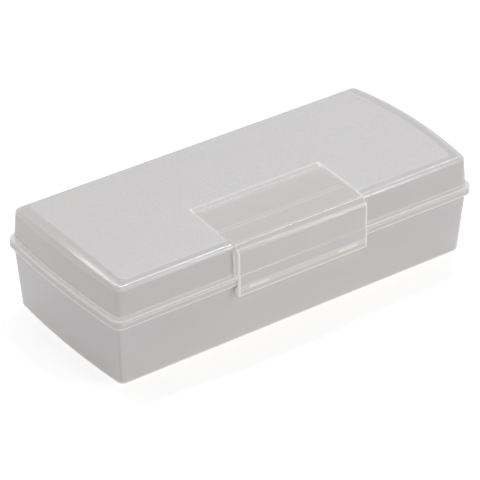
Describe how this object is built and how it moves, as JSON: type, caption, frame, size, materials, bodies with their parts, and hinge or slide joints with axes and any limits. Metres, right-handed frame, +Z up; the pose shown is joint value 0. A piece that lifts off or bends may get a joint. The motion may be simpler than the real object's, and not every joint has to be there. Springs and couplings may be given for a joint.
{
  "type": "sewing machine attachment box",
  "caption": "Low plastic box with bowed ends, a crowned hinged lid and a wide rocking clasp that hooks under the rim.",
  "frame": {"origin": "centre of the tray's flat underside", "axes": "+X along the box's length, to the right as seen from the clasp; -Y out of the front with the clasp; +Z up"},
  "size_m": [0.2, 0.0923, 0.0523],
  "materials": {
    "frosted_pp": "milky natural polypropylene, satin outside with a fine grain on the lid's top",
    "clear_pp": "smooth clear polypropylene",
    "pin_steel": "drawn wire"
  },
  "bodies": {
    "base": {"base_tray": "frosted_pp", "hinge_pin_left": "pin_steel", "hinge_pin_right": "pin_steel"},
    "lid": {"lid": "frosted_pp"},
    "clasp": {"clasp": "clear_pp"}
  },
  "joints": [
    {"name": "lid_hinge", "type": "hinge", "parent": "base", "child": "lid", "pos_m": [0, 0.0442, 0.0339], "axis": [-1, 0, 0], "range_deg": [0, 110]},
    {"name": "clasp_rock", "type": "hinge", "parent": "lid", "child": "clasp", "pos_m": [0, -0.0295, 0.04823], "axis": [-1, 0, 0], "range_deg": [0, 8]}
  ]
}
